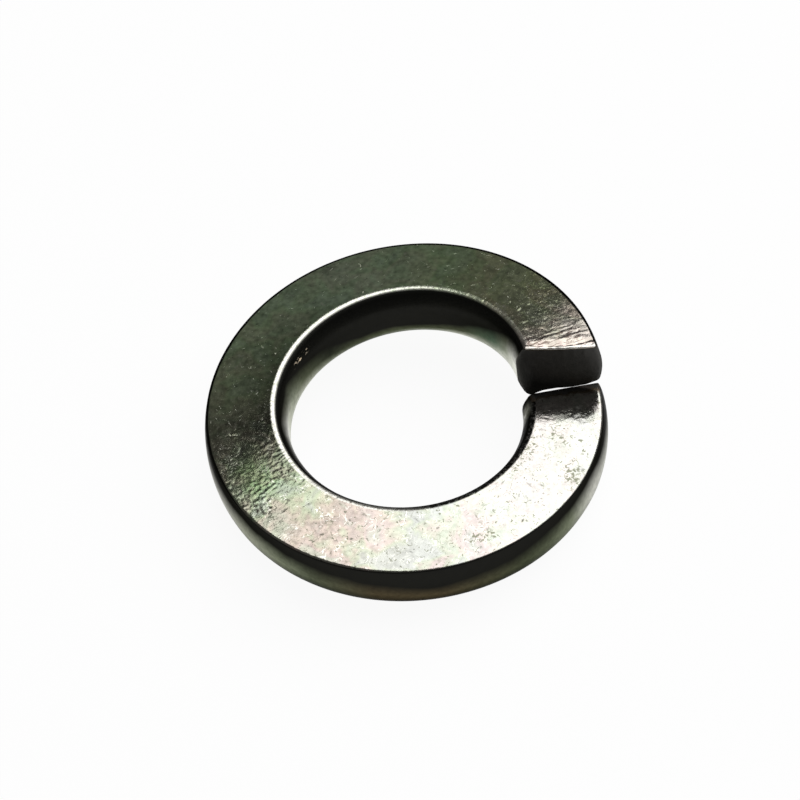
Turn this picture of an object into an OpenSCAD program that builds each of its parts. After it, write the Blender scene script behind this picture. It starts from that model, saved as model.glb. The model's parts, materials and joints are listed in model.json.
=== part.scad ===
// Spring lock washer for an M16 bolt: one turn of keystone wire, coiled on edge into a left-hand
// helix and sheared off, so that its high end stands about one wire thickness over its low end.
// The wire has crowned side walls, a straight land at the bore and rounded corners, which grow
// sharper towards the cuts. Each cut has a rolled edge where the blade went in, deepest at the
// outer wall, and a sharp edge where it came out.
// Origin: on the bore's axis, level with the lowest point. +Z runs along the bolt, up to the nut,
// and the ends meet towards +X.

/* [Ring] */
// Bore diameter at the straight land
bore_d = 16.3; // [14.5:0.05:17.5]

/* [Wire] */
// Width of the wire, from the bore's land to the outer wall's crown
wire_w = 5.85; // [5:0.05:7]
// Thickness of the wire at the middle of its width
wire_t = 4.15; // [3.4:0.05:5]
// How much thicker the wire is at the bore than at the outer wall, from being coiled on edge
keystone = 0.93; // [0.2:0.01:1.2]
// How far the outer wall's crown stands out from its corners
outer_crown = 0.31; // [0.1:0.01:0.6]
// How far the bore's corners stand back from its land
bore_relief = 0.66; // [0.3:0.01:0.9]
// Height of the straight land on the bore's wall
bore_land = 2; // [1.2:0.1:2.4]
// Rounding of the top outer corner, along each side
round_top_outer = 0.2; // [0.1:0.05:0.7]
// Rounding of the bottom outer corner, along each side
round_bottom_outer = 0.6; // [0.1:0.05:0.7]
// Rounding of the bottom corner at the bore, along each side
round_bottom_bore = 0.75; // [0.1:0.05:0.75]
// Rounding of the top corner at the bore, along each side
round_top_bore = 0.42; // [0.1:0.05:0.75]

/* [Coil] */
// Lift of the high end's underside over the low end's top, before their edges are rolled
end_lift = -0.1; // [-0.15:0.05:2]
// Gap between the two ends, along the mean circle
end_gap = 0.1; // [0.1:0.05:3]
// Direction of the middle of the gap, counter-clockwise from +X
gap_at = 1.6; // [-10:0.1:10]

/* [Cut ends] */
// Skew of the high end's cut off the radial line, towards the gap at the outer wall
high_skew = 8; // [0:0.5:9]
// Skew of the low end's cut off the radial line, towards the gap at the outer wall
low_skew = 5; // [0:0.5:6]
// Lean of both cuts out of upright, with the high end's top edge drawn back
cut_lean = 3; // [0:0.5:6]
// Length of wire that each cut's rolled edge and sharper corners take
roll_length = 0.9; // [0.5:0.1:1.6]
// Depth that each cut's rolled edge drops by at the outer wall
roll_depth = 0.3; // [0.15:0.05:0.6]
// Depth that each cut's rolled edge drops by at the bore
roll_depth_bore = 0.05; // [0:0.05:0.3]
// Share of each corner's rounding that is left at a cut
end_corners = 0.6; // [0.4:0.05:1]

/* [Smoothness] */
// Steps round the coil between the two rolled ends
coil_steps = 120; // [60:10:160]
// Steps along each rolled end
roll_steps = 5; // [3:1:8]
// Steps over each side wall
wall_steps = 6; // [4:1:8]
// Steps round each corner of the wire
corner_steps = 4; // [2:1:4]

/* [Hidden] */
zinc_olive = [0.36, 0.38, 0.30];
bore_r = bore_d / 2;
outer_r = bore_r + wire_w;
mean_r = (outer_r + bore_r) / 2;
end_offset = wire_t + end_lift;
// Half the wire's thickness at each wall
outer_half = wire_t / 2 - keystone / 4;
bore_half = wire_t / 2 + keystone / 4;
// Corners of the wire before they are rounded, as radius and height off the wire's middle
outer_corner = [outer_r - outer_crown, outer_half];
bore_corner = [bore_r + bore_relief, bore_half];
// Centre and radius of each wall's crown, an arc on the wire's middle plane
outer_centre = outer_r - (pow(outer_half, 2) + pow(outer_crown, 2)) / (2 * outer_crown);
outer_arc = outer_r - outer_centre;
bore_centre = bore_r + bore_relief / 2
    + (pow(bore_half, 2) - pow(bore_land / 2, 2)) / (2 * bore_relief);
bore_arc = norm([bore_centre - bore_r, bore_land / 2]);
// Angle that the coil covers from its high end to its low end, on the mean circle
gap_angle = end_gap / mean_r * 180 / PI;
coil_angle = 360 - gap_angle;
high_at = gap_at + gap_angle / 2;
// Length of wire along the mean circle
path = mean_r * coil_angle * PI / 180;

function mirror_z(p) = [p[0], -p[1]];
function unit(v) = v / norm(v);
function cross_z(a, b) = a[0] * b[1] - a[1] * b[0];

// Where the line through p along d meets the line through q along e
function meet(p, d, q, e) = p + d * cross_z(q - p, e) / cross_z(d, e);

// A curve from p to q that leaves each along its line to the corner c, without its two ends
function rounded(p, c, q) = [
    for (i = [1 : corner_steps - 1])
    let (t = i / corner_steps)
    p * pow(1 - t, 2) + c * 2 * t * (1 - t) + q * pow(t, 2)
];

// A point on a wall's crown at height z; side is 1 for the outer wall and -1 for the bore
function crown_at(side, z) =
    side > 0
    ? [outer_centre + sqrt(pow(outer_arc, 2) - z * z), z]
    : [bore_centre - sqrt(pow(bore_arc, 2) - z * z), z];

// The direction along a wall's crown at point p
function crown_way(side, p) =
    let (centre = side > 0 ? outer_centre : bore_centre)
    unit([p[1], centre - p[0]]);

// The crown of one wall between two heights
function crown(side, from_z, to_z) = [
    for (i = [0 : wall_steps])
    crown_at(side, from_z + (to_z - from_z) * i / wall_steps)
];

// One rounded corner, from the wall to the face; up is 1 for the top and -1 for the bottom
function corner(side, up, size) =
    let (
        sharp = side > 0 ? outer_corner : bore_corner,
        across = side > 0 ? bore_corner - outer_corner : outer_corner - bore_corner,
        on_wall = crown_at(side, sharp[1] - size),
        on_face = sharp + unit(across) * size,
        c = meet(on_wall, crown_way(side, on_wall), on_face, across),
        points = concat(rounded(on_wall, c, on_face), [on_face])
    )
    [for (p = points) up > 0 ? p : mirror_z(p)];

function reversed(list) = [for (i = [len(list) - 1 : -1 : 0]) list[i]];

// The wire's section with a share of its rounding, anticlockwise from the bottom of the outer wall
function section(share) =
    let (
        top_outer = share * round_top_outer,
        bottom_outer = share * round_bottom_outer,
        top_bore = share * round_top_bore,
        bottom_bore = share * round_bottom_bore
    )
    concat(
        crown(1, bottom_outer - outer_half, outer_half - top_outer),
        corner(1, 1, top_outer),
        reversed(corner(-1, 1, top_bore)),
        crown(-1, bore_half - top_bore, bottom_bore - bore_half),
        corner(-1, -1, bottom_bore),
        reversed(corner(1, -1, bottom_outer))
    );

SECTION = section(1);
CUT_SECTION = section(end_corners);
// Height of the wire's middle at the low cut, where the wire stands on its lowest point
base_z = -min([for (p = CUT_SECTION) p[1]]);

// Share of the coil at each ring of points: close together on the rolled ends, even between
roll_share = roll_length / path;
STATIONS = concat(
    [for (i = [0 : roll_steps - 1]) roll_share * (1 - cos(90 * i / roll_steps))],
    [for (i = [0 : coil_steps]) roll_share + (1 - 2 * roll_share) * i / coil_steps],
    [for (i = [roll_steps - 1 : -1 : 0]) 1 - roll_share * (1 - cos(90 * i / roll_steps))]
);

// How near a place is to a cut at a distance d: 1 at the cut and 0 past its rolled edge
function nearness(d) = max(0, 1 - d / roll_length);

// The section's point j at a distance d from the nearest cut
function wire_point(j, d) = SECTION[j] + (CUT_SECTION[j] - SECTION[j]) * pow(nearness(d), 2);

// How much of its drop a rolled edge has at a distance d from its cut: a quarter of an ellipse
function roll(d) = 1 - sqrt(1 - pow(nearness(d), 2));

// How far a rolled edge drops at its cut, at a point of the section
function roll_drop(p) =
    roll_depth_bore + (roll_depth - roll_depth_bore) * pow((p[0] - bore_r) / wire_w, 2);

// How far a cut stands ahead of the radial line at a point of the section, in degrees
function cut_shift(p, skew, lean) =
    ((p[0] - mean_r) * tan(skew) + p[1] * tan(lean)) / p[0] * 180 / PI;

// The section's point j set on the coil, at a share of the way from the high end to the low end
function on_coil(j, share) =
    let (
        from_high = share * path,
        from_low = (1 - share) * path,
        p = wire_point(j, min(from_high, from_low)),
        start = high_at - cut_shift(p, high_skew, -cut_lean),
        finish = high_at + coil_angle + cut_shift(p, low_skew, -cut_lean),
        angle = start + (finish - start) * share,
        turned = (angle - high_at) / coil_angle,
        top_share = 0.5 + p[1] / (2 * bore_half),
        rolled = roll_drop(p) * (roll(from_high) * (1 - top_share) - roll(from_low) * top_share)
    )
    [
        p[0] * cos(angle),
        p[0] * sin(angle),
        base_z + end_offset * (1 - turned) + p[1] + rolled
    ];

// The coiled wire with its crowned bore wall, as rings of points joined into one closed skin
module coil() {
    n = len(SECTION);
    rings = len(STATIONS);
    points = [for (share = STATIONS, j = [0 : n - 1]) on_coil(j, share)];
    sides = [
        for (i = [0 : rings - 2], j = [0 : n - 1])
        let (k = (j + 1) % n, a = i * n, b = (i + 1) * n)
        each [[a + j, b + j, b + k], [a + j, b + k, a + k]]
    ];
    high_cut = [for (j = [0 : n - 1]) j];
    low_cut = [for (j = [n - 1 : -1 : 0]) (rings - 1) * n + j];
    polyhedron(points, concat(sides, [high_cut, low_cut]), convexity = 6);
}

module spring_washer() {
    color(zinc_olive)
    difference() {
        coil();
        translate([0, 0, -wire_t])
        cylinder(r = bore_r, h = end_offset + 3 * wire_t, $fn = 180);
    }
}

spring_washer();
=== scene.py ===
"""Looks of the spring lock washer: its detailed coil, its plated finish, the studio and the camera.

Lengths are in millimetres and angles in degrees, until a mesh, lamp or camera is made. Angles round
the washer run counter-clockwise from +X, seen from above, from its high cut to its low cut.
"""
import itertools
import json
import logging
import math
from collections.abc import Sequence
from dataclasses import dataclass, field
from enum import Enum

import bpy
import numpy as np
from mathutils import Matrix, Vector


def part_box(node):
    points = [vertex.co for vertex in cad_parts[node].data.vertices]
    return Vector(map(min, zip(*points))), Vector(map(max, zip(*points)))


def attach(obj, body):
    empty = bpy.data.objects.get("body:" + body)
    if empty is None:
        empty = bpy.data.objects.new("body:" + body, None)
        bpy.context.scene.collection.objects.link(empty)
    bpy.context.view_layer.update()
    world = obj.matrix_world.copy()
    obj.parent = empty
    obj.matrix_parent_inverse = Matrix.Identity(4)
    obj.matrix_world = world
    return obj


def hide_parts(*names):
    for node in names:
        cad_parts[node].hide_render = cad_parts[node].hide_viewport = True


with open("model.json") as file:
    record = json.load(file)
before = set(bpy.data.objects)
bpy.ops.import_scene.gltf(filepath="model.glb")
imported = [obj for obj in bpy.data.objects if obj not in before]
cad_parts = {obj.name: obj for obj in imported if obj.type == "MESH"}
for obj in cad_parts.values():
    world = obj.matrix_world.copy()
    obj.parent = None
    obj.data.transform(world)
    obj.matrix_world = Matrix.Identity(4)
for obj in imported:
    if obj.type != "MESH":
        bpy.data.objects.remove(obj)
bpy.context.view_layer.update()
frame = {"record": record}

MM = 0.001
NODE = "spring_washer"
BODY = "root"
WIRE_SIZE = (69.5, 5.85, 4.62)  # the wire's length, width and greatest height, for the finish

log = logging.getLogger(NODE)

Colour = tuple[float, float, float]

PALE: Colour = (0.88, 0.88, 0.79)
STRAW: Colour = (0.53, 0.55, 0.43)
SAGE: Colour = (0.275, 0.305, 0.21)
FERN: Colour = (0.10, 0.15, 0.10)
MOSS: Colour = (0.12, 0.135, 0.087)
OLIVE: Colour = (0.08, 0.09, 0.055)
BROWN: Colour = (0.085, 0.068, 0.040)
SOOT: Colour = (0.030, 0.034, 0.024)
BLACK: Colour = (0.016, 0.016, 0.014)


class Corner(Enum):
    """The four rounded corners of the wire's section, as (at the bore, on the top)."""

    TOP_OUTER = (False, True)
    TOP_BORE = (True, True)
    BOTTOM_BORE = (True, False)
    BOTTOM_OUTER = (False, False)


class Field(Enum):
    """Attributes that tell the finish where it is on the wire."""

    PLACE = "wire_place"  # turn from the high cut to the low one, share across from outer wall, rise
    ZONE = "wire_zone"  # shares of face, wall and cut; the cut's share also holds painted shade on the low end's top
    WEAR = "wire_wear"  # rubbed edges and the high cut's lip, partly painted highlight; the depth of wrinkles and marks, darkened as painted shade; and scuffed patches


def smooth_step(low: float, high: float, value: np.ndarray) -> np.ndarray:
    """Rises from 0 at low to 1 at high along 3t^2 - 2t^3, and is level outside them.

    Args:
        low: Where the rise starts. It may lie above high, for a fall.
        high: Where the rise ends.
        value: Where to read it.

    Returns:
        The step's height at each value.
    """
    t = np.clip((value - low) / (high - low), 0.0, 1.0)
    return t * t * (3.0 - 2.0 * t)


def hump(start: float, end: float, soft: float, value: np.ndarray) -> np.ndarray:
    """A plateau of 1 from start to end, with smooth flanks of width soft outside it.

    Args:
        start: Where the plateau starts.
        end: Where it ends.
        soft: Width of each flank.
        value: Where to read it.

    Returns:
        The plateau's height at each value.
    """
    return smooth_step(start - soft, start, value) * smooth_step(end + soft, end, value)


@dataclass(frozen=True)
class Grain:
    """Gradient noise on a lattice of unit cells, the same on every run."""

    seed: int

    def at(self, points: np.ndarray) -> np.ndarray:
        """Blends the slopes of each cell's eight corners by the fade 6f^5 - 15f^4 + 10f^3.

        Args:
            points: Places in cells, with their three coordinates last.

        Returns:
            The noise at each place, mostly from -0.6 to 0.6.
        """
        rng = np.random.default_rng(self.seed)
        order = rng.permutation(256)
        slopes = rng.normal(size=(256, 3))
        slopes /= np.linalg.norm(slopes, axis=1, keepdims=True)
        cell = np.floor(points).astype(int)
        f = points - cell
        fade = f * f * f * (f * (f * 6.0 - 15.0) + 10.0)
        total = np.zeros(points.shape[:-1])
        for corner in itertools.product((0, 1), repeat=3):
            key = np.zeros(points.shape[:-1], int)
            for axis in range(3):
                key = order[(key + cell[..., axis] + corner[axis]) % 256]
            share = np.where(np.array(corner) == 1, fade, 1.0 - fade).prod(axis=-1)
            total += share * ((f - corner) * slopes[key]).sum(axis=-1)
        return total

    def layers(self, points: np.ndarray, count: int) -> np.ndarray:
        """Adds layers of the noise, each twice as fine and half as high as the one before.

        Args:
            points: Places in cells of the coarsest layer.
            count: Number of layers.

        Returns:
            The sum of the layers at each place.
        """
        return sum(Grain(self.seed + n).at(points * 2.0**n) / 2.0**n for n in range(count))


@dataclass(frozen=True)
class Section:
    """Points of the wire's section, anticlockwise from the bottom of the outer wall.

    The arrays hold each point's radius, height off the wire's middle, share of the way across from
    the outer wall, share of the way up, and how far it belongs to a face, the top and the corner
    between the top and the bore.
    """

    radius: np.ndarray
    height: np.ndarray
    across: np.ndarray
    rise: np.ndarray
    face: np.ndarray
    top: np.ndarray
    rim: np.ndarray


@dataclass(frozen=True)
class Mark:
    """A dent, a scratch or a scuffed patch on the top face: an ellipse with a smooth floor.

    Its angle and share across place its middle. Its length runs along the coil before it is turned.
    Its depth is a length, or a share of wear on a patch.
    """

    angle: float
    across: float
    length: float
    width: float
    turned: float
    depth: float

    def drop(self, along: np.ndarray, inward: np.ndarray, mean_r: float, wire_w: float) -> np.ndarray:
        """A bell of depth * (1 - q)^2, where q is the squared distance in half lengths and widths.

        Args:
            along: Angle of each point round the washer.
            inward: Share across of each point.
            mean_r: The coil's mean radius.
            wire_w: The wire's width.

        Returns:
            The drop at each point.
        """
        x = np.radians(along - self.angle) * mean_r
        y = (inward - self.across) * wire_w
        turn = math.radians(self.turned)
        u = (x * math.cos(turn) + y * math.sin(turn)) / (self.length / 2)
        v = (y * math.cos(turn) - x * math.sin(turn)) / (self.width / 2)
        return self.depth * np.clip(1.0 - u * u - v * v, 0.0, 1.0) ** 2


@dataclass(frozen=True)
class Relief:
    """Heights of what rolling, coiling, shearing and handling left on the wire's skin."""

    wave: float = 0.010
    worm: float = 0.010
    grain: float = 0.003
    shear: float = 0.016
    rim: float = 0.005
    marks: tuple[Mark, ...] = (
        Mark(96.5, 0.30, 0.16, 1.0, 6, 0.020),
        Mark(99.1, 0.78, 0.42, 0.36, 20, 0.018),
        Mark(146.4, 0.70, 0.34, 0.26, 40, 0.020),
        Mark(155.1, 0.48, 0.18, 0.40, 10, 0.016),
        Mark(160.1, 0.68, 0.18, 0.36, -30, 0.014),
        Mark(164.8, 0.38, 0.18, 0.30, 30, 0.014),
        Mark(111.7, 0.64, 0.18, 0.40, 60, 0.014),
        Mark(183.7, 0.39, 0.16, 1.10, -12, 0.016),
        Mark(176.8, 0.30, 0.18, 0.50, 15, 0.014),
        Mark(26.5, 0.66, 0.20, 0.75, 25, 0.018),
        Mark(12.1, 0.56, 0.20, 1.00, -60, 0.018),
        Mark(301.1, 0.23, 0.50, 0.22, 25, 0.014),
        Mark(302.4, 0.27, 0.40, 0.20, -35, 0.012),
        Mark(301.9, 0.20, 0.22, 0.34, 10, 0.012),
        Mark(214.0, 0.22, 1.00, 0.19, -23, 0.022),
        Mark(215.2, 0.31, 0.40, 0.24, 40, 0.018),
        Mark(245.3, 0.41, 0.36, 0.24, 20, 0.018),
    )
    scuffs: tuple[Mark, ...] = (
        Mark(326.5, 0.80, 3.6, 1.7, 0, 1.0),
        Mark(314.0, 0.77, 3.4, 1.1, 0, 0.7),
        Mark(324.5, 0.20, 2.8, 1.8, 25, 0.9),
        Mark(287.0, 0.28, 2.6, 1.1, -15, 0.9),
        Mark(302.0, 0.50, 1.6, 1.0, 30, 0.5),
        Mark(338.0, 0.55, 3.6, 2.6, 0, 0.5),
        Mark(10.0, 0.86, 4.4, 1.3, 0, 1.0),
        Mark(32.0, 0.82, 4.0, 1.4, 0, 0.9),
        Mark(208.0, 0.70, 2.4, 2.6, 0, 0.8),
        Mark(214.0, 0.22, 4.0, 1.3, 0, 0.7),
        Mark(192.0, 0.25, 5.0, 2.4, 0, 0.5),
        Mark(152.0, 0.30, 4.0, 2.6, 0, 0.4),
    )

    def scattered(self) -> tuple[Mark, ...]:
        """Thin nicks at seeded random places on the top.

        Returns:
            The nicks.
        """
        rng = np.random.default_rng(16)
        nicks = []
        for _ in range(70):
            angle, across, turned = rng.uniform(6, 350), rng.uniform(0.06, 0.88), rng.uniform(0, 180)
            length, width, depth = rng.uniform(0.3, 0.9), rng.uniform(0.17, 0.21), rng.uniform(0.007, 0.014)
            nicks.append(Mark(angle, across, length, width, turned, depth))
        return tuple(nicks)

    def height(self, points: np.ndarray, along: np.ndarray, inward: np.ndarray, ends: np.ndarray,
               mean_r: float, wire_w: float) -> tuple[np.ndarray, np.ndarray]:
        """Height of the skin's unevenness.

        It is a sum of slow waves, of wrinkles along the level lines of a warped noise, of a fine
        crosswise grain, of ridges beside the high cut and of the marks.

        Args:
            points: The skin's points before it is uneven.
            along: Angle of each point round the washer.
            inward: Share across of each point.
            ends: Distance of each point from the high cut, along the coil.
            mean_r: The coil's mean radius.
            wire_w: The wire's width.

        Returns:
            The height at each point, and how deep each point lies in a wrinkle or mark, from 0 to 1.
        """
        warp = Grain(3).layers(points / 1.1, 2)[..., None] * np.array([0.5, -0.4, 0.3])
        waves = self.wave * Grain(5).layers(points / 3.4, 2)
        worm_noise = Grain(11).layers((points + warp) / 0.42, 2)
        ridge = 1.0 - np.clip(np.abs(worm_noise) * 4.0, 0.0, 1.0)
        strong = 0.16 + 0.9 * hump(200, 234, 24, along) + 0.45 * hump(236, 352, 12, along)
        strong = strong + 0.5 * hump(4, 40, 22, along) + 0.35 * hump(160, 206, 16, along)
        place = 0.55 + 0.45 * Grain(23).at(points / 1.9) / 0.35
        worms = -self.worm * ridge * np.clip(strong * place, 0.0, 1.4)
        polar = np.stack([np.radians(along) * mean_r / 0.22, inward * wire_w / 1.5, 0 * along], axis=-1)
        fine = self.grain * Grain(31).layers(polar, 2) * (0.5 + hump(30, 75, 25, along))
        outward = 1.0 - inward
        sheared = np.stack([(ends - 1.3 * outward) / 0.21, inward * wire_w / 1.5, 0 * along + 3.0], axis=-1)
        sheared[..., 0] += 0.9 * Grain(41).at(points / 0.9)
        reach = 1.1 + 1.7 * outward**2 + 0.8 * Grain(53).at(points / 0.8)
        near_cut = smooth_step(reach + 0.5, reach - 0.2, ends)
        ridges = self.shear * Grain(43).layers(sheared, 2) * near_cut
        comb = np.sin(2 * np.pi * (np.radians(along) * mean_r / 0.34 + 1.6 * Grain(47).at(points / 1.1)))
        combed = hump(204, 211, 4, along) * hump(0.35, 0.62, 0.15, inward)
        combed = combed + hump(195, 203, 3, along) * hump(0.74, 0.92, 0.08, inward)
        ridges = ridges + 0.0035 * comb * combed * (0.3 + 2.0 * np.abs(Grain(59).at(points / 0.6)))
        drops = sum(m.drop(along, inward, mean_r, wire_w) for m in self.marks + self.scattered())
        depth = np.clip(-0.25 * worms / self.worm + drops / 0.02, 0.0, 1.0)
        return waves + worms + fine + ridges - drops, depth

    def scuffed(self, along: np.ndarray, inward: np.ndarray, mean_r: float, wire_w: float) -> np.ndarray:
        """Adds the scuffed patches.

        Args:
            along: Angle of each point round the washer.
            inward: Share across of each point.
            mean_r: The coil's mean radius.
            wire_w: The wire's width.

        Returns:
            Each point's share of wear.
        """
        return np.clip(sum(m.drop(along, inward, mean_r, wire_w) for m in self.scuffs), 0.0, 1.0)


@dataclass
class SpringWasher:
    """The washer as one coil of crowned keystone wire, sheared at both ends."""

    outer_r: float
    bore_r: float
    wire_t: float = 4.15
    keystone: float = 0.93
    outer_crown: float = 0.31
    bore_relief: float = 0.66
    bore_land: float = 2.0
    rounding: dict[Corner, float] = field(
        default_factory=lambda: {
            Corner.TOP_OUTER: 0.2,
            Corner.TOP_BORE: 0.36,
            Corner.BOTTOM_BORE: 0.75,
            Corner.BOTTOM_OUTER: 0.6,
        }
    )
    plate_edge: dict[Corner, tuple[float, float]] = field(
        default_factory=lambda: {
            Corner.TOP_OUTER: (0.35, 0.65),
            Corner.TOP_BORE: (0.42, 0.62),
            Corner.BOTTOM_BORE: (0.85, 1.0),
            Corner.BOTTOM_OUTER: (0.85, 1.0),
        }
    )
    end_lift: float = -0.1
    end_gap: float = 0.1
    gap_at: float = 1.6
    high_skew: float = 8.0
    low_skew: float = 5.0
    cut_lean: float = 3.0
    roll_length: float = 0.9
    roll_depth: float = 0.3
    roll_depth_bore: float = 0.05
    end_corners: float = 0.6
    edge_round: float = 0.08
    burr: float = 0.045
    edge_sag: float = 0.16
    drag_burr: float = 0.36
    low_sway: float = 0.04
    sway_length: float = 6.0
    coil_steps: int = 840
    cut_steps: int = 22
    cut_zone: float = 1.1
    cap_steps: int = 12
    wall_steps: int = 9
    corner_steps: dict[Corner, int] = field(
        default_factory=lambda: {
            Corner.TOP_OUTER: 6,
            Corner.TOP_BORE: 8,
            Corner.BOTTOM_BORE: 4,
            Corner.BOTTOM_OUTER: 4,
        }
    )
    top_steps: int = 58
    bottom_steps: int = 8
    relief: Relief = Relief()

    def __post_init__(self) -> None:
        """Works out what follows from the sizes, as the part's own source does."""
        self.mean_r = (self.outer_r + self.bore_r) / 2
        self.wire_w = self.outer_r - self.bore_r
        self.end_offset = self.wire_t + self.end_lift
        self.outer_half = self.wire_t / 2 - self.keystone / 4
        self.bore_half = self.wire_t / 2 + self.keystone / 4
        self.outer_corner = np.array([self.outer_r - self.outer_crown, self.outer_half])
        self.bore_corner = np.array([self.bore_r + self.bore_relief, self.bore_half])
        gap_angle = math.degrees(self.end_gap / self.mean_r)
        self.coil_angle = 360.0 - gap_angle
        self.high_at = self.gap_at + gap_angle / 2
        self.path = self.mean_r * math.radians(self.coil_angle)
        self.base_z = -float(self.section(self.end_corners).height.min())

    def crown(self, bore: bool, height: np.ndarray) -> np.ndarray:
        """A wall's crown: a circle's arc, centred on the wire's middle plane.

        Args:
            bore: Whether it is the bore's wall, and not the outer one.
            height: Heights off the middle plane.

        Returns:
            The wall's radius at each height. The bore's crown is cut off flat at the bore's radius.
        """
        if bore:
            rise = self.bore_half**2 - (self.bore_land / 2) ** 2
            centre = self.bore_r + self.bore_relief / 2 + rise / (2 * self.bore_relief)
            arc = math.hypot(centre - self.bore_r, self.bore_land / 2)
            return np.maximum(centre - np.sqrt(arc**2 - height**2), self.bore_r)
        arc = (self.outer_half**2 + self.outer_crown**2) / (2 * self.outer_crown)
        return self.outer_r - arc + np.sqrt(arc**2 - height**2)

    def wall(self, bore: bool, share: float) -> np.ndarray:
        """The points of a wall between its two rounded corners.

        Args:
            bore: Whether it is the bore's wall, and not the outer one.
            share: Share of their rounding that the corners have.

        Returns:
            Points as radius and height, from the bottom up.
        """
        half = self.bore_half if bore else self.outer_half
        low, high = (self.rounding[Corner((bore, top))] * share for top in (False, True))
        height = np.linspace(low - half, half - high, self.wall_steps + 1)
        return np.stack([self.crown(bore, height), height], axis=-1)

    def face(self, top: bool, share: float) -> np.ndarray:
        """The points of the top or bottom face between its two rounded corners.

        Args:
            top: Whether it is the top face.
            share: Share of their rounding that the corners have.

        Returns:
            Points as radius and height, from the outer wall to the bore.
        """
        way = self.bore_corner - self.outer_corner
        length = float(np.linalg.norm(way))
        start = self.rounding[Corner((False, top))] * share / length
        end = 1.0 - self.rounding[Corner((True, top))] * share / length
        inward = np.linspace(start, end, (self.top_steps if top else self.bottom_steps) + 1)[:, None]
        return (self.outer_corner + way * inward) * np.array([1, 1 if top else -1])

    def corner_share(self, which: Corner) -> np.ndarray:
        """Shares of the way round a corner from its wall to its face, without its two ends."""
        steps = self.corner_steps[which]
        return np.arange(1, steps) / steps

    def corner(self, which: Corner, share: float) -> np.ndarray:
        """A corner as the curve (1-t)^2 wall + 2t(1-t) tip + t^2 face, without its two ends.

        The tip is where the wall's and the face's directions meet.

        Args:
            which: The corner.
            share: Share of its rounding that it has.

        Returns:
            Points as radius and height, from the wall to the face.
        """
        bore, top = which.value
        sharp, far = self.outer_corner, self.bore_corner
        if bore:
            sharp, far = far, sharp
        across = (far - sharp) / np.linalg.norm(far - sharp)
        size = self.rounding[which] * share
        nudge = 0.01
        near = sharp[1] - size + np.array([-nudge, 0.0, nudge])
        radius = self.crown(bore, near)
        wall, face = np.array([radius[1], near[1]]), sharp + across * size
        way = np.array([radius[2] - radius[0], near[2] - near[0]])
        gap = face - wall
        reach = (gap[0] * across[1] - gap[1] * across[0]) / (way[0] * across[1] - way[1] * across[0])
        t = self.corner_share(which)[:, None]
        curve = wall * (1 - t) ** 2 + (wall + way * reach) * 2 * t * (1 - t) + face * t**2
        return curve * np.array([1, 1 if top else -1])

    def section(self, share: float = 1.0) -> Section:
        """Joins the crowned walls, rounded corners and straight faces into one closed outline.

        Args:
            share: Share of their rounding that the corners have.

        Returns:
            The outline.
        """
        def plated(which: Corner) -> np.ndarray:
            """How far each point of a corner is finished as its face, and not as its wall."""
            return smooth_step(*self.plate_edge[which], self.corner_share(which))

        parts = [
            (self.wall(False, share), 0.0, 0.0, 0.0),
            (self.corner(Corner.TOP_OUTER, share), plated(Corner.TOP_OUTER), 1.0, 0.0),
            (self.face(True, share), 1.0, 1.0, 0.0),
            (self.corner(Corner.TOP_BORE, share)[::-1], plated(Corner.TOP_BORE)[::-1], 1.0, 1.0),
            (self.wall(True, share)[::-1], 0.0, 0.0, 0.0),
            (self.corner(Corner.BOTTOM_BORE, share), plated(Corner.BOTTOM_BORE), 0.0, 0.0),
            (self.face(False, share)[::-1], 1.0, 0.0, 0.0),
            (self.corner(Corner.BOTTOM_OUTER, share)[::-1], plated(Corner.BOTTOM_OUTER)[::-1], 0.0, 0.0),
        ]
        radius, height = np.concatenate([p[0] for p in parts]).T
        face, top, rim = (np.concatenate([p[n] + np.zeros(len(p[0])) for p in parts]) for n in (1, 2, 3))
        across = (self.outer_r - radius) / self.wire_w
        return Section(radius, height, across, 0.5 + height / (2 * self.bore_half), face, top, rim)

    def shares(self) -> np.ndarray:
        """Shares of the coil at its rings of points: even between the cuts, and close beside them.

        Returns:
            Shares from 0 at the high cut to 1 at the low cut.
        """
        zone = self.cut_zone / self.path
        near = zone * (np.arange(self.cut_steps) / self.cut_steps) ** 1.8
        even = np.linspace(zone, 1 - zone, self.coil_steps + 1)
        return np.concatenate([near, even, 1 - near[::-1]])

    def strained(self, top: np.ndarray, outward: np.ndarray, high_side: np.ndarray,
                 low_side: np.ndarray) -> np.ndarray:
        """How far rolling, shearing and springing moved the ends off their plain helix.

        The edges that the blades went into drop by quarters of ellipses, deepest at the outer wall.
        The high cut's top edge sags by a parabola, and two burrs hang from its lower edge. The low
        end's top sways by a cosine that fades out.

        Args:
            top: Share of the way up the wire.
            outward: Share of the way from the bore to the outer wall.
            high_side: Distance from the high cut.
            low_side: Distance from the low cut.

        Returns:
            The rise at each point.
        """
        def roll(distance: np.ndarray) -> np.ndarray:
            """How much of its drop a rolled edge has at a distance from its cut."""
            return 1 - np.sqrt(1 - np.clip(1 - distance / self.roll_length, 0, 1) ** 2)

        drop = self.roll_depth_bore + (self.roll_depth - self.roll_depth_bore) * outward**2
        rolled = drop * (roll(high_side) * (1 - top) - roll(low_side) * top)
        sag = self.edge_sag * (1 - (2 * outward - 1) ** 2) * smooth_step(0.8, 0.0, high_side) * top
        burrs = hump(0.08, 0.14, 0.1, outward) + 0.55 * hump(0.60, 0.78, 0.13, outward)
        hanging = self.drag_burr * burrs * smooth_step(0.5, 0.0, high_side)
        fade = smooth_step(2 * self.sway_length, self.sway_length, low_side)
        sway = self.low_sway * np.cos(np.pi * low_side / self.sway_length) * fade * top
        return rolled - sag - hanging * (1 - top) ** 2 + sway

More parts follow.
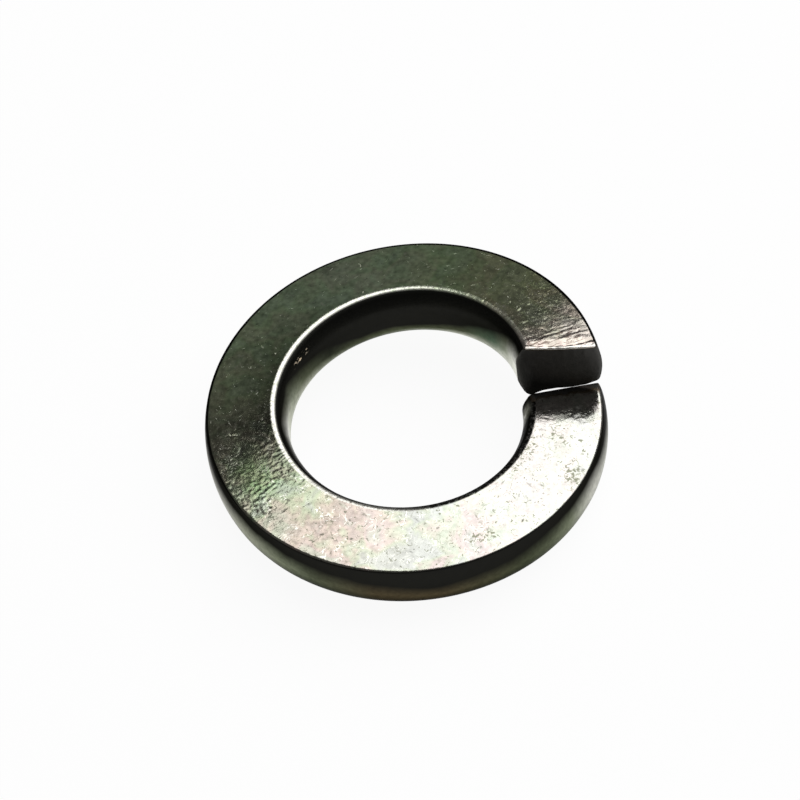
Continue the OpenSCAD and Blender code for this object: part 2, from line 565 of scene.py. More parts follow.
    def on_coil(self, radius: np.ndarray, height: np.ndarray,
                share: np.ndarray) -> tuple[np.ndarray, np.ndarray]:
        """Sets points of the section on the coil.

        The angle runs evenly between the two cuts, each of which stands ahead of the radial line by
        its skew and lean. The height falls evenly with the angle, apart from the strained ends.

        Args:
            radius: Radius of each point.
            height: Height of each point off the wire's middle.
            share: Share of the way from the high cut to the low cut.

        Returns:
            The points in the part's frame, with their three coordinates last, and their angles.
        """
        leaning = height * math.tan(math.radians(self.cut_lean))

        def ahead(skew: float) -> np.ndarray:
            """How far a cut of that skew stands ahead of the radial line, in degrees."""
            skewed = (radius - self.mean_r) * math.tan(math.radians(skew))
            return np.degrees((skewed - leaning) / radius)

        start = self.high_at - ahead(self.high_skew)
        finish = self.high_at + self.coil_angle + ahead(self.low_skew)
        angle = start + (finish - start) * share
        turned = (angle - self.high_at) / self.coil_angle
        top = 0.5 + height / (2 * self.bore_half)
        outward = (radius - self.bore_r) / self.wire_w
        lift = self.strained(top, outward, share * self.path, (1 - share) * self.path)
        z = self.base_z + self.end_offset * (1 - turned) + height + lift
        turn = np.radians(angle)
        return np.stack([radius * np.cos(turn), radius * np.sin(turn), z], axis=-1), angle

    def skin(self) -> tuple[np.ndarray, dict[Field, np.ndarray]]:
        """The wire's skin and its two cuts as one grid of points, ring by ring, and its attributes.

        Each cut is the section's outline drawn in towards the middle of the wire, and the rings
        beside it are drawn in along a quarter of a circle, so that its edge isn't knife-sharp.
        The relief then moves each point along the cross product of the grid's two directions.

        Returns:
            The points, and each attribute's values.
        """
        s, at_cut = self.section(), self.section(self.end_corners)
        coil = self.shares()
        cap = (np.arange(1, self.cap_steps) / self.cap_steps) ** 0.8
        share = np.concatenate([0 * cap, coil, 0 * cap + 1])[:, None]
        inward = np.concatenate([cap, 0 * coil + 1, cap[::-1]])[:, None]
        cut = np.concatenate([0 * cap + 1, 0 * coil, 0 * cap + 1])[:, None]
        high_side, low_side = share * self.path, (1 - share) * self.path
        near = np.minimum(high_side, low_side)
        squeezed = np.clip(1 - near / self.roll_length, 0, 1) ** 2
        left = np.clip(1 - near / self.edge_round, 0, 1)
        sharp = np.where(high_side < low_side, s.rise, 1 - s.rise)
        drawn = self.edge_round * (1 - np.sqrt(1 - left**2)) * (0.3 + 0.7 * smooth_step(0.2, 0.8, sharp))
        radius = s.radius + (at_cut.radius - s.radius) * squeezed - self.mean_r
        height = s.height + (at_cut.height - s.height) * squeezed
        scale = inward * (1 - drawn / np.hypot(radius, height))
        points, angle = self.on_coil(self.mean_r + radius * scale, height * scale, share)

        along = np.gradient(points, axis=0)
        around = np.roll(points, -1, axis=1) - np.roll(points, 1, axis=1)
        normal = np.cross(along, around)
        normal /= np.maximum(np.linalg.norm(normal, axis=-1, keepdims=True), 1e-9)
        shape = angle.shape
        across = np.broadcast_to(s.across, shape)
        from_high = np.broadcast_to(high_side, shape)
        bumps, depth = self.relief.height(points, angle, across, from_high, self.mean_r, self.wire_w)
        on_top = s.top * s.face
        edge = 1 - smooth_step(self.edge_round, 1.5 * self.edge_round, near)
        # Painted shade: the low end's top beside its cut, under the high end, takes the cut's dark finish, standing
        # in for the shadow and reflection of the high end's cut.
        ragged = low_side + 0.35 * Grain(61).layers(points / 0.5, 3)
        painted_shade_under_high_end = smooth_step(1.05, 0.40, ragged) * on_top
        dark = np.maximum(cut, np.maximum(edge * (1 - on_top * (high_side < low_side)), painted_shade_under_high_end))
        lip_width = 0.10 + 0.18 * (2 * across - 1) ** 2
        lip = hump(0.0, 0.9, 0.6, high_side / lip_width) * on_top * (1 - cut)
        bead = smooth_step(0.0, 1.0, high_side / lip_width) * smooth_step(2.4, 1.2, high_side / lip_width)
        bead = bead * on_top * (1 - cut)
        lifted = bumps * (0.25 + 0.75 * s.face) * (1 - cut)
        burr = self.burr * bead * np.clip(0.7 + 1.2 * Grain(7).at(points / 0.35), 0.2, 1.4)
        rubbed = self.relief.rim * Grain(71).layers(points / 0.3, 2) * s.rim * (1 - cut)
        fracture = 0.02 * Grain(57).layers(points / np.array([0.5, 0.5, 1.6]), 3) * cut * (inward < 0.97)
        points = points + normal * (lifted + burr + rubbed + fracture)[..., None]

        scuffed = self.relief.scuffed(angle, across, self.mean_r, self.wire_w)
        fields = {
            Field.PLACE: [(angle - self.high_at) / self.coil_angle, across, s.rise],
            Field.ZONE: [s.face * (1 - dark), 1 - s.face, dark],
            Field.WEAR: [np.maximum(s.rim * (1 - cut), lip), depth * s.face * (1 - cut), scuffed * on_top],
        }
        stacked = {k: np.stack([np.broadcast_to(x, shape) for x in v], axis=-1) for k, v in fields.items()}
        return points, stacked

    def build(self) -> bpy.types.Object:
        """Makes the mesh: squares between the rings, and a fan of triangles to the middle of each cut.

        Returns:
            The washer's object, at the origin, in metres.
        """
        points, fields = self.skin()
        rings, n = points.shape[:2]
        ring, side = np.meshgrid(np.arange(rings - 1), np.arange(n), indexing="ij")
        a, b = ring * n + side, ring * n + (side + 1) % n
        squares = np.stack([a, a + n, b + n, b], axis=-1).reshape(-1, 4)
        first, last = rings * n, rings * n + 1
        j = np.arange(n)
        k = (j + 1) % n
        high_fan = np.stack([j, k, 0 * j + first], axis=-1)
        low_fan = np.stack([k + first - n, j + first - n, 0 * j + last], axis=-1)
        middles = points[[0, -1]].mean(axis=1)
        places = np.concatenate([points.reshape(-1, 3), middles]) * MM

        mesh = bpy.data.meshes.new("spring_washer_coil")
        mesh.from_pydata(places, [], squares.tolist() + high_fan.tolist() + low_fan.tolist())
        for name, values in fields.items():
            ends = values[[0, -1]].mean(axis=1)
            flat = np.concatenate([values.reshape(-1, 3), ends]).astype(np.float32)
            attribute = mesh.attributes.new(name.value, "FLOAT_VECTOR", "POINT")
            attribute.data.foreach_set("vector", flat.ravel())
        mesh.shade_smooth()
        mesh.update()
        washer = bpy.data.objects.new("spring_washer_coil", mesh)
        bpy.context.scene.collection.objects.link(washer)
        return washer


class Graph:
    """A material's nodes, made one after another."""

    def __init__(self, name: str) -> None:
        """Starts a material of that name with an empty node tree."""
        self.material = bpy.data.materials.new(name)
        self.material.use_nodes = True
        self.nodes = self.material.node_tree.nodes
        self.nodes.clear()

    def add(self, kind: str, **settings: object) -> bpy.types.Node:
        """Adds a node and sets its properties."""
        node = self.nodes.new(kind)
        for name, value in settings.items():
            setattr(node, name, value)
        return node

    def feed(self, socket: bpy.types.NodeSocket, value: object) -> None:
        """Links a socket to another node's output, or sets it to a constant."""
        if isinstance(value, bpy.types.NodeSocket):
            self.material.node_tree.links.new(value, socket)
        else:
            socket.default_value = value

    def attribute(self, which: Field) -> bpy.types.NodeSocket:
        """One of the piece's attributes."""
        return self.add("ShaderNodeAttribute", attribute_name=which.value).outputs["Vector"]

    def parts(self, which: Field) -> Sequence[bpy.types.NodeSocket]:
        """The three parts of one of the piece's attributes."""
        split = self.add("ShaderNodeSeparateXYZ")
        self.feed(split.inputs[0], self.attribute(which))
        return split.outputs

    def math(self, operation: str, a: object, b: object = 0.0) -> bpy.types.NodeSocket:
        """A Math node's result, kept from 0 to 1 by the caller where that matters."""
        node = self.add("ShaderNodeMath", operation=operation)
        self.feed(node.inputs[0], a)
        self.feed(node.inputs[1], b)
        return node.outputs[0]

    def blend(self, share: object, a: object, b: object, mode: str = "MIX") -> bpy.types.NodeSocket:
        """A colour between a and what the mode makes of a and b, by a share from 0 to 1."""
        node = self.add("ShaderNodeMix", data_type="RGBA", blend_type=mode)
        for socket, value in zip((node.inputs[0], node.inputs[6], node.inputs[7]), (share, a, b)):
            self.feed(socket, value)
        return node.outputs[2]

    def times(self, *factors: object) -> bpy.types.NodeSocket:
        """The product of two or more numbers."""
        result = factors[0]
        for factor in factors[1:]:
            result = self.math("MULTIPLY", result, factor)
        return result

    def spread(self, value: object, low: object, high: object, to_low: float = 0.0,
               to_high: float = 1.0) -> bpy.types.NodeSocket:
        """Maps low..high to to_low..to_high and keeps the result between them."""
        node = self.add("ShaderNodeMapRange")
        for socket, number in zip(node.inputs[:5], (value, low, high, to_low, to_high)):
            self.feed(socket, number)
        return node.outputs[0]

    def noise(self, vector: bpy.types.NodeSocket, size: float, detail: float = 2.0,
              warp: float = 0.0) -> bpy.types.NodeSocket:
        """Noise with cells of a size in millimetres, on coordinates in metres."""
        node = self.add("ShaderNodeTexNoise")
        self.feed(node.inputs["Vector"], vector)
        self.feed(node.inputs["Scale"], 1.0 / (size * MM))
        self.feed(node.inputs["Detail"], detail)
        self.feed(node.inputs["Distortion"], warp)
        return node.outputs["Fac"]

    def strokes(self, place: bpy.types.NodeSocket, length: float, width: float,
                turned: float) -> bpy.types.NodeSocket:
        """Noise on the unrolled skin, stretched along a direction to a length and width in millimetres."""
        flat = self.add("ShaderNodeMapping", vector_type="POINT")
        self.feed(flat.inputs["Vector"], place)
        self.feed(flat.inputs["Scale"], [size * MM for size in WIRE_SIZE])
        stretched = self.add("ShaderNodeMapping", vector_type="TEXTURE")
        self.feed(stretched.inputs["Vector"], flat.outputs[0])
        self.feed(stretched.inputs["Rotation"], (0.0, 0.0, math.radians(turned)))
        self.feed(stretched.inputs["Scale"], (length / width, 1.0, 1.0))
        return self.noise(stretched.outputs[0], width)

    def level(self, value: bpy.types.NodeSocket, stops: Sequence[tuple[float, float]]) -> bpy.types.NodeSocket:
        """A number that follows the stops, each a place and a level from 0 to 1."""
        return self.ramp(value, [(place, (height,) * 3) for place, height in stops])

    def ramp(self, value: bpy.types.NodeSocket,
             stops: Sequence[tuple[float, Sequence[float]]]) -> bpy.types.NodeSocket:
        """A colour ramp through the stops, each a place and a colour."""
        node = self.add("ShaderNodeValToRGB")
        elements = node.color_ramp.elements
        while len(elements) < len(stops):
            elements.new(0.5)
        for element, (place, colour) in zip(elements, stops):
            element.position = place
            element.color = (*colour, 1.0)
        self.feed(node.inputs["Fac"], value)
        return node.outputs["Color"]


@dataclass(frozen=True)
class WallStop:
    """What the side walls look like at one place round the washer.

    They have a colour at their bottom, and one half-way up to where they turn black: painted reflections of the floor
    below and of the dim room above.
    """

    turn: float
    low: Colour
    middle: Colour
    black_above: float


@dataclass(frozen=True)
class PlatedZinc:
    """Olive passivated zinc plate, whose colour drifts round the washer as its film grows thicker.

    Each table runs over the share of the turn from the high cut to the low one, apart from the film's, which runs
    over a noise. The tints round the turn also carry painted reflection, and the walls, edges and dents carry painted
    reflections, highlights and shade.
    """

    # The plating's tint round the turn, which also carries painted reflection: the light and dark that the top face
    # mirrors are painted in as tints.
    tint_and_reflection_bands: tuple[tuple[float, Colour], ...] = (
        (0.00, (0.52, 0.44, 0.41)),
        (0.03, (0.37, 0.335, 0.29)),
        (0.05, (0.28, 0.29, 0.2)),
        (0.10, (0.38, 0.4, 0.24)),
        (0.18, (0.39, 0.5, 0.29)),
        (0.28, (0.43, 0.53, 0.36)),
        (0.38, (0.4, 0.5, 0.31)),
        (0.45, (0.34, 0.4, 0.25)),
        (0.50, (0.155, 0.165, 0.12)),
        (0.54, (0.19, 0.2, 0.145)),
        (0.58, (0.29, 0.31, 0.235)),
        (0.65, (0.365, 0.34, 0.29)),
        (0.75, (0.4, 0.385, 0.355)),
        (0.82, (0.475, 0.465, 0.435)),
    )
    film: tuple[tuple[float, Colour], ...] = (
        (0.36, (0.46, 0.52, 0.54)),
        (0.43, (0.45, 0.55, 0.44)),
        (0.49, (0.52, 0.53, 0.46)),
        (0.54, (0.57, 0.47, 0.48)),
        (0.60, (0.55, 0.46, 0.50)),
        (0.68, (0.48, 0.52, 0.50)),
    )
    film_weight: tuple[tuple[float, float], ...] = (
        (0.00, 0.2),
        (0.06, 0.35),
        (0.50, 0.35),
        (0.60, 0.55),
        (0.78, 0.5),
        (0.86, 0.2),
    )
    green_turn: tuple[tuple[float, float], ...] = (
        (0.530, 0.0),
        (0.548, 1.0),
        (0.570, 1.0),
        (0.588, 0.0),
    )
    green_across: tuple[tuple[float, float], ...] = (
        (0.18, 0.0),
        (0.32, 1.0),
        (0.56, 1.0),
        (0.70, 0.0),
    )
    mottling: tuple[tuple[float, float], ...] = (
        (0.00, 0.3),
        (0.05, 0.6),
        (0.52, 0.7),
        (0.60, 0.35),
        (1.00, 0.2),
    )
    # Painted shade on the top face's inner side, round the turn.
    inner_shade: tuple[tuple[float, float], ...] = (
        (0.26, 0.0),
        (0.33, 0.25),
        (0.42, 0.55),
        (0.52, 0.55),
        (0.56, 0.0),
    )
    curls: tuple[tuple[float, float], ...] = (
        (0.00, 0.7),
        (0.10, 0.5),
        (0.16, 0.15),
        (0.48, 0.2),
        (0.55, 0.7),
        (0.68, 0.7),
        (0.75, 0.45),
        (1.00, 0.5),
    )
    specks: tuple[tuple[float, float], ...] = (
        (0.02, 0.8),
        (0.12, 0.35),
        (0.50, 0.35),
        (0.56, 0.9),
    )
    pale_curls: tuple[tuple[float, float], ...] = (
        (0.00, 0.6),
        (0.05, 0.0),
        (0.54, 0.0),
        (0.60, 0.9),
    )
    # Colour of curls, specks and nicks round the turn; on the nicks, which follow dents, the dark colours are painted
    # shade.
    curl_colour: tuple[tuple[float, Colour], ...] = (
        (0.025, (0.11, 0.08, 0.07)),
        (0.050, (0.60, 0.60, 0.49)),
        (0.530, (0.60, 0.60, 0.49)),
        (0.570, (0.09, 0.09, 0.07)),
        (0.780, (0.14, 0.145, 0.10)),
    )
    flecks: tuple[tuple[float, float], ...] = (
        (0.02, 0.1),
        (0.06, 0.7),
        (0.36, 0.7),
        (0.50, 1.0),
        (0.57, 0.2),
        (0.62, 0.0),
    )
    # How strongly the worn edges, partly a painted highlight, show round the turn.
    rubbed: tuple[tuple[float, float], ...] = (
        (0.006, 1.0),
        (0.010, 0.25),
        (0.120, 0.35),
        (0.240, 1.0),
    )
    # Where the painted dark reflection along the top face's outer edge lies, as a share across, round the turn.
    outline: tuple[tuple[float, float], ...] = (
        (0.00, 0.070),
        (0.06, 0.088),
        (0.40, 0.088),
        (0.48, 0.072),
        (0.54, 0.072),
        (0.62, 0.03),
    )
    # Painted reflections on the side walls, round the turn.
    painted_wall_reflections: tuple[WallStop, ...] = (
        WallStop(0.02, PALE, PALE, 0.87),
        WallStop(0.05, PALE, SAGE, 0.86),
        WallStop(0.08, STRAW, FERN, 0.74),
        WallStop(0.14, STRAW, OLIVE, 0.44),
        WallStop(0.18, SAGE, OLIVE, 0.33),
        WallStop(0.29, MOSS, OLIVE, 0.33),
        WallStop(0.34, SAGE, SOOT, 0.55),
        WallStop(0.40, STRAW, MOSS, 0.76),
        WallStop(0.44, STRAW, SAGE, 0.86),
        WallStop(0.47, STRAW, STRAW, 0.84),
        WallStop(0.50, SAGE, PALE, 0.82),
        WallStop(0.545, PALE, PALE, 0.80),
        WallStop(0.58, STRAW, STRAW, 0.77),
        WallStop(0.62, OLIVE, SAGE, 0.75),
        WallStop(0.65, SOOT, MOSS, 0.73),
        WallStop(0.70, BLACK, BROWN, 0.65),
        WallStop(0.75, BLACK, BROWN, 0.55),
        WallStop(0.82, SOOT, OLIVE, 0.65),
        WallStop(0.845, MOSS, MOSS, 0.70),
        WallStop(0.87, SAGE, SAGE, 0.74),
        WallStop(0.905, PALE, PALE, 0.79),
        WallStop(0.96, PALE, PALE, 0.76),
    )
    # How much higher the bore's wall starts its painted black reflection.
    bore_above: tuple[tuple[float, float], ...] = (
        (0.46, 0.0),
        (0.50, 0.06),
        (0.56, 0.10),
        (0.60, 0.0),
        (0.94, 0.0),
        (0.97, 0.3),
    )
    bare: Colour = (0.60, 0.59, 0.54)
    scratched: Colour = (1.0, 0.86, 0.66)
    # The brown between the plate and the cuts' dark finish: partly a stain, and partly painted shade at the soft edge
    # of the low end's painted shade.
    stain_and_shade: Colour = (0.10, 0.075, 0.05)
    sheared: Colour = (0.075, 0.073, 0.069)
    # The low end's dark finish, on its cut and as painted shade on its top beside the cut.
    rolled: Colour = (0.055, 0.053, 0.050)
    roughness: float = 0.11

    def tone(self, g: Graph, coords: bpy.types.NodeSocket, turn: bpy.types.NodeSocket,
             across: bpy.types.NodeSocket) -> bpy.types.NodeSocket:
        """The plate's colour without its wear: tints round the turn that also carry painted reflection, film,
        mottling and painted shade on the inner side.

        Args:
            g: The material's nodes.
            coords: Place in metres.
            turn: Share of the turn.
            across: Share of the way in from the outer wall.

        Returns:
            The colour.
        """
        drift = g.times(g.math("SUBTRACT", g.noise(coords, 3.0), 0.5), 0.06)
        # Tints round the turn, partly painted reflection.
        plate = g.ramp(g.math("ADD", turn, drift), self.tint_and_reflection_bands)
        film = g.ramp(g.noise(coords, 2.2, 3.0, 0.5), self.film)
        filmed = g.blend(1.0, plate, g.blend(1.0, film, (2.0, 2.0, 2.0, 1.0), "MULTIPLY"), "MULTIPLY")
        plate = g.blend(g.level(turn, self.film_weight), plate, filmed)
        green = g.times(g.level(turn, self.green_turn), g.level(across, self.green_across))
        plate = g.blend(green, plate, g.blend(1.0, plate, (0.88, 1.08, 0.84, 1.0), "MULTIPLY"))
        fine = g.times(g.math("SUBTRACT", g.noise(coords, 0.4, 5.0), 0.5), 2.2)
        cloud = g.math("SUBTRACT", g.noise(coords, 1.6, 3.0), 0.5)
        mottle = g.times(g.math("ADD", fine, cloud), g.level(turn, self.mottling))
        # Painted shade: the top face darkens towards the bore over part of the turn.
        darkening = g.times(g.level(turn, self.inner_shade), g.spread(across, 0.3, 0.8))
        shade = g.times(g.math("ADD", mottle, 1.0), g.math("SUBTRACT", 1.0, darkening))
        return g.blend(1.0, plate, shade, "MULTIPLY")

    def walls(self, g: Graph, coords: bpy.types.NodeSocket, turn: bpy.types.NodeSocket,
              across: bpy.types.NodeSocket, rise: bpy.types.NodeSocket) -> bpy.types.NodeSocket:
        """The colour of the side walls, painted with the reflections they would show: a colour at the bottom, one
        half-way up, and black above a height that changes round the turn, with a lighter painted reflection on the
        bore's wall at the low end and a painted contact shadow along the outer wall's lowest edge.

        Args:
            g: The material's nodes.
            coords: Place in metres.
            turn: Share of the turn.
            across: Share of the way in from the outer wall.
            rise: Share of the way up.

        Returns:
            The colour.
        """
        wander = g.times(g.math("SUBTRACT", g.noise(coords, 2.5), 0.5), 0.12)
        inner = g.spread(across, 0.4, 0.6)
        higher = g.times(inner, g.level(turn, self.bore_above))
        # Painted reflection: the walls turn black above this height, which changes round the turn.
        turns_black = g.level(turn, [(stop.turn, stop.black_above) for stop in self.painted_wall_reflections])
        limit = g.math("ADD", g.math("ADD", turns_black, higher), wander)
        up = g.spread(rise, 0.15, limit)
        low = g.ramp(turn, [(stop.turn, stop.low) for stop in self.painted_wall_reflections])
        middle = g.ramp(turn, [(stop.turn, stop.middle) for stop in self.painted_wall_reflections])
        side = g.blend(g.spread(up, 0.0, 0.5), low, middle)
        speckled = g.math("ADD", g.times(g.noise(coords, 0.3, 4.0), 0.8), 0.6)
        side = g.blend(1.0, side, speckled, "MULTIPLY")
        # Painted reflection: a lighter band on the bore's wall at the low end, where it mirrors the floor.
        low_end_reflection = g.times(inner, g.level(turn, ((0.93, 0.0), (0.96, 1.0))))
        low_end_reflection = g.times(low_end_reflection, g.spread(g.noise(coords, 0.5, 3.0), 0.3, 0.65, 0.2, 0.9))
        side = g.blend(low_end_reflection, side, (0.20, 0.20, 0.14, 1.0))
        side = g.blend(g.times(inner, g.level(turn, ((0.978, 0.0), (0.986, 1.0)))), side, (*BLACK, 1.0))
        # Painted contact shadow: the outer wall darkens along its lowest edge.
        painted_contact_shadow = g.times(g.spread(rise, 0.13, 0.05), g.spread(across, 0.6, 0.4))
        side = g.blend(g.times(painted_contact_shadow, 0.75), side, (*BLACK, 1.0))
        return g.blend(g.spread(up, 0.5, 1.0), side, (*BLACK, 1.0))

    def make(self) -> bpy.types.Material:
        """Builds the material's nodes.

        Returns:
            The material.
        """
        g = Graph("olive_zinc_plate")
        coords = g.add("ShaderNodeTexCoord").outputs["Object"]
        place = g.attribute(Field.PLACE)
        turn, across, rise = g.parts(Field.PLACE)
        _, wall, cut = g.parts(Field.ZONE)
        rim, depth, scuffed = g.parts(Field.WEAR)
        black, bare = (*BLACK, 1.0), (*self.bare, 1.0)

        plate = self.tone(g, coords, turn, across)
        plate = g.blend(g.spread(g.noise(coords, 0.22), 0.33, 0.28, 0.0, 0.5), plate, black)
        # Painted shade: the plate blackens in wrinkles and marks by their depth, from 0.53 of the turn on.
        plate = g.blend(g.times(g.level(turn, ((0.53, 0.0), (0.57, 0.9))), depth), plate, black)
        pale_loop = g.math("ABSOLUTE", g.math("SUBTRACT", g.noise(coords, 0.6, 1.0, 1.5), 0.56))
        pale = g.times(g.spread(pale_loop, 0.030, 0.012), g.spread(g.noise(coords, 0.9), 0.50, 0.58))
        plate = g.blend(g.times(pale, g.level(turn, self.pale_curls)), plate, bare)
        off_loop = g.math("ABSOLUTE", g.math("SUBTRACT", g.noise(coords, 0.6, 1.0, 1.5), 0.5))
        broken = g.spread(g.math("ADD", g.noise(coords, 0.8), g.times(scuffed, 0.2)), 0.50, 0.58)
        curl = g.times(g.spread(off_loop, 0.030, 0.012), broken, g.level(turn, self.curls))
        grit = g.math("ADD", g.noise(coords, 0.26, 1.5, 1.0), g.times(scuffed, 0.19))
        speckle = g.times(g.spread(grit, 0.66, 0.69), g.level(turn, self.specks))
        # Nicks follow the depth of dents; where the colour below is dark, it is painted shade in them.
        ragged = g.times(g.math("SUBTRACT", g.noise(coords, 0.25, 3.0), 0.5), 1.2)
        nick = g.spread(g.math("ADD", depth, ragged), 0.35, 0.75, 0.0, 0.8)
        curl = g.math("MAXIMUM", curl, g.math("MAXIMUM", speckle, nick))
        plate = g.blend(curl, plate, g.ramp(turn, self.curl_colour))
        long_way = g.spread(g.strokes(place, 0.7, 0.14, 35.0), 0.70, 0.75)
        cross_way = g.spread(g.strokes(place, 0.5, 0.13, -55.0), 0.71, 0.76)
        fleck = g.times(g.math("MAXIMUM", long_way, cross_way), g.level(turn, self.flecks))
        plate = g.blend(g.times(fleck, 0.6), plate, bare)
        streaks = g.times(g.spread(g.strokes(place, 0.9, 0.15, 102.5), 0.51, 0.57), g.spread(across, 0.12, 0.25))
        streaks = g.times(streaks, g.level(turn, ((0.003, 0.4), (0.007, 0.85), (0.018, 0.85), (0.030, 0.0))))
        plate = g.blend(streaks, plate, (0.11, 0.08, 0.065, 1.0))
        # Worn bare metal along the bore's top edge and the high cut's lip, partly a painted highlight; from 0.76 of
        # the turn on, the edge is painted black instead, as a dark reflection.
        rubbed = g.times(rim, g.spread(g.noise(coords, 0.22, 3.0), 0.36, 0.50, 0.5, 1.0), g.level(turn, self.rubbed))
        plate = g.blend(rubbed, plate, g.ramp(turn, ((0.70, self.bare), (0.76, BLACK))))
        # Painted dark reflection: a thin black line along the top face's outer edge.
        edge = g.math("ADD", g.level(turn, self.outline), g.times(g.noise(coords, 0.8), 0.02))
        edge = g.spread(across, edge, g.math("SUBTRACT", edge, 0.008))
        plate = g.blend(edge, plate, black)

        side = self.walls(g, coords, turn, across, rise)
        grazed = g.spread(g.strokes(place, 0.5, 0.14, 8.0), 0.58, 0.64)
        grazed = g.times(grazed, g.spread(across, 0.4, 0.6), g.level(turn, ((0.368, 0.0), (0.377, 1.0), (0.398, 1.0), (0.408, 0.0))))
        grazed = g.times(grazed, g.level(rise, ((0.80, 0.0), (0.83, 1.0), (0.86, 1.0), (0.89, 0.0))), wall)
        side = g.blend(grazed, side, (*self.scratched, 1.0))

        colour = g.blend(wall, plate, side)
        # Brown at the soft edge of the cuts' dark finish: partly a stain, partly painted shade.
        colour = g.blend(g.spread(cut, 0.0, 0.6), colour, (*self.stain_and_shade, 1.0))
        # The cuts' dark finish, which on the low end's top is painted shade.
        sheared = g.ramp(turn, ((0.4, self.sheared), (0.6, self.rolled)))
        colour = g.blend(g.spread(cut, 0.6, 1.0), colour, sheared)
        rough = g.spread(g.noise(coords, 0.5, 4.0), 0.3, 0.7, self.roughness - 0.02, self.roughness + 0.05)
        rough = g.math("ADD", rough, g.times(g.math("MAXIMUM", cut, wall), 0.25))
        struck = g.math("MAXIMUM", g.math("MAXIMUM", fleck, nick), grazed)
        rough = g.math("ADD", rough, g.times(struck, 0.4))
        rough = g.math("ADD", rough, g.times(rim, 0.12))
        bump = g.add("ShaderNodeBump")
        g.feed(bump.inputs["Distance"], 0.007 * MM)
        g.feed(bump.inputs["Height"], g.noise(coords, 0.32, 4.0, 2.0))
        darkening = g.math("MAXIMUM", g.math("MAXIMUM", cut, edge), g.times(wall, g.spread(side, 0.45, 0.10)))
        shader = g.add("ShaderNodeBsdfPrincipled")
        shader.inputs["Metallic"].default_value = 1.0
        g.feed(shader.inputs["Base Color"], colour)
        g.feed(shader.inputs["Roughness"], rough)
        g.feed(shader.inputs["Specular Tint"], g.blend(darkening, (1.0, 1.0, 1.0, 1.0), (0.42, 0.42, 0.42, 1.0)))
        g.feed(shader.inputs["Normal"], bump.outputs["Normal"])
        g.feed(g.add("ShaderNodeOutputMaterial").inputs["Surface"], shader.outputs["BSDF"])
        return g.material


@dataclass(frozen=True)
class Softbox:
    """A square lamp that faces the washer from a direction, at a plain radiance."""

    name: str
    azimuth: float
    elevation: float
    spin: float
    distance: float
    side: float
    radiance: float

    def place(self) -> None:
        """Makes the lamp. A square lamp of power P and area A shines with a radiance of P / (pi A)."""
        lamp = bpy.data.lights.new(self.name, "AREA")
        lamp.shape = "SQUARE"
        lamp.size = self.side
        lamp.energy = self.radiance * math.pi * self.side**2
        holder = bpy.data.objects.new(self.name, lamp)
        az, el = math.radians(self.azimuth), math.radians(self.elevation)
        out = Vector((math.cos(el) * math.cos(az), math.cos(el) * math.sin(az), math.sin(el)))
        up = (-out).to_track_quat("-Z", "Y") @ Vector((0, 1, 0))
        turned = Matrix.Rotation(math.radians(self.spin), 3, out) @ up
        axes = Matrix((turned.cross(out), turned, out)).transposed()
        holder.matrix_world = Matrix.Translation(out * self.distance) @ axes.to_4x4()
        bpy.context.scene.collection.objects.link(holder)


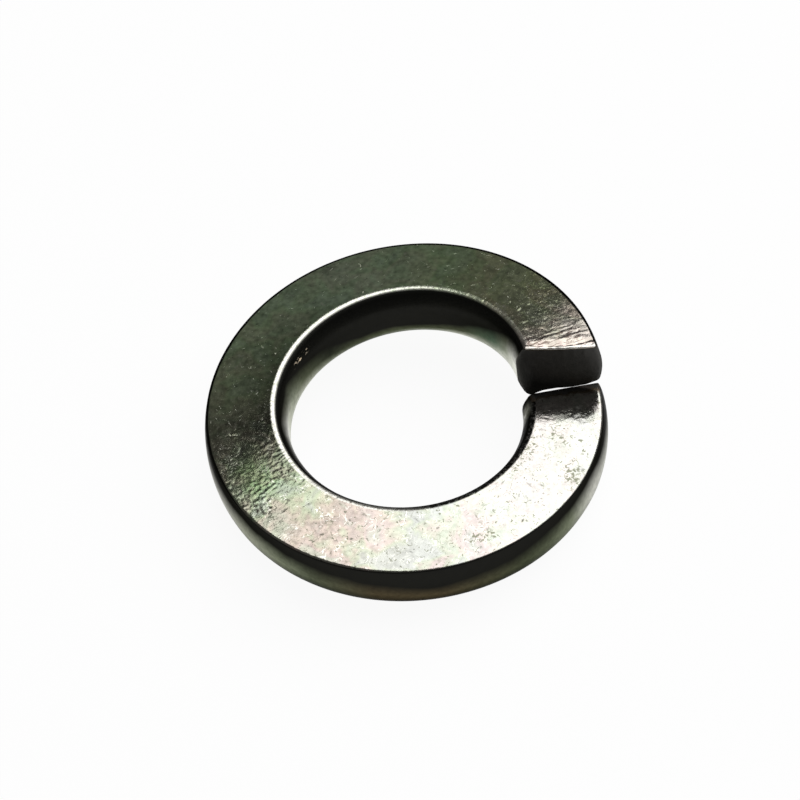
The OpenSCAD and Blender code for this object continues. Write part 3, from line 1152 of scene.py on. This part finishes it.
@dataclass(frozen=True)
class Studio:
    """A pale floor under a dim room and softboxes."""

    floor_side: float = 6.0
    floor_colour: float = 0.95
    glow: float = 0.93
    room: float = 0.15
    softboxes: tuple[Softbox, ...] = (
        Softbox("overhead_softbox", azimuth=24, elevation=64.4, spin=9.4, distance=0.6, side=0.806,
                radiance=2.25),
    )

    def lay_floor(self) -> bpy.types.Object:
        """Makes the floor, which glows a little for the camera and for mirrors, and keeps shadows.

        Returns:
            The floor.
        """
        half = self.floor_side / 2
        mesh = bpy.data.meshes.new("studio_floor")
        mesh.from_pydata([(-half, -half, 0), (half, -half, 0), (half, half, 0), (-half, half, 0)], [], [(0, 1, 2, 3)])
        floor = bpy.data.objects.new("studio_floor", mesh)
        bpy.context.scene.collection.objects.link(floor)
        g = Graph("pale_floor")
        path = g.add("ShaderNodeLightPath")
        seen = g.math("MAXIMUM", path.outputs["Is Camera Ray"], path.outputs["Is Glossy Ray"])
        seen = g.math("MAXIMUM", seen, path.outputs["Is Transmission Ray"])
        paper = g.add("ShaderNodeBsdfDiffuse")
        paper.inputs["Color"].default_value = (self.floor_colour,) * 3 + (1.0,)
        light = g.add("ShaderNodeEmission")
        light.inputs["Strength"].default_value = 1.0
        both = g.add("ShaderNodeMixShader")
        g.feed(both.inputs[0], g.math("MULTIPLY", seen, self.glow))
        g.feed(both.inputs[1], paper.outputs[0])
        g.feed(both.inputs[2], light.outputs[0])
        g.feed(g.add("ShaderNodeOutputMaterial").inputs["Surface"], both.outputs[0])
        mesh.materials.append(g.material)
        return floor

    def build(self) -> None:
        """Makes the floor, the room's even light and the softboxes."""
        self.lay_floor()
        world = bpy.data.worlds.new("dim_room")
        world.use_nodes = True
        world.node_tree.nodes["Background"].inputs["Color"].default_value = (self.room,) * 3 + (1.0,)
        bpy.context.scene.world = world
        for softbox in self.softboxes:
            softbox.place()


@dataclass(frozen=True)
class Camera:
    """The photograph's camera, placed on a picture of 800 by 800 pixels."""

    place: tuple[float, float, float] = (0.0, -94.1, 120.46)
    yaw: float = -0.10
    pitch: float = 50.53
    roll: float = -9.63
    focal_px: float = 2149.0
    picture_px: float = 800.0
    sensor: float = 36.0

    def build(self) -> bpy.types.Object:
        """Makes the camera and gives it to the scene.

        Returns:
            The camera.
        """
        yaw, pitch, roll = (math.radians(a) for a in (self.yaw, self.pitch, self.roll))
        ahead = Vector((math.sin(yaw) * math.cos(pitch), math.cos(yaw) * math.cos(pitch), -math.sin(pitch)))
        level = Vector((math.cos(yaw), -math.sin(yaw), 0))
        upright = level.cross(ahead)
        right = level * math.cos(roll) + upright * math.sin(roll)
        up = upright * math.cos(roll) - level * math.sin(roll)
        axes = Matrix((right, up, -ahead)).transposed().to_4x4()
        data = bpy.data.cameras.new("photo_camera")
        data.sensor_width = self.sensor
        data.lens = self.focal_px / self.picture_px * self.sensor
        data.clip_start = 0.01
        camera = bpy.data.objects.new("photo_camera", data)
        camera.matrix_world = Matrix.Translation(Vector(self.place) * MM) @ axes
        bpy.context.scene.collection.objects.link(camera)
        bpy.context.scene.camera = camera
        return camera


def main() -> None:
    """Builds the camera, the studio and the washer, and reports each."""
    logging.basicConfig(level=logging.INFO, format="%(name)s: %(message)s")
    bpy.context.scene.view_settings.view_transform = "Standard"
    Camera().build()
    Studio().build()
    log.info("camera, floor and lamps are in place")

    low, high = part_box(NODE)
    bore = next(m for m in frame["record"]["mounts"] if m["name"] == "bore")
    washer = SpringWasher(outer_r=(high.x - low.x) / 2 / MM, bore_r=bore["dims"]["r_mm"])
    coil = washer.build()
    coil.data.materials.append(PlatedZinc().make())
    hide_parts(NODE)
    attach(coil, BODY)
    log.info("%s: %d points, %d faces", coil.name, len(coil.data.vertices), len(coil.data.polygons))


if __name__ == "__main__":
    main()
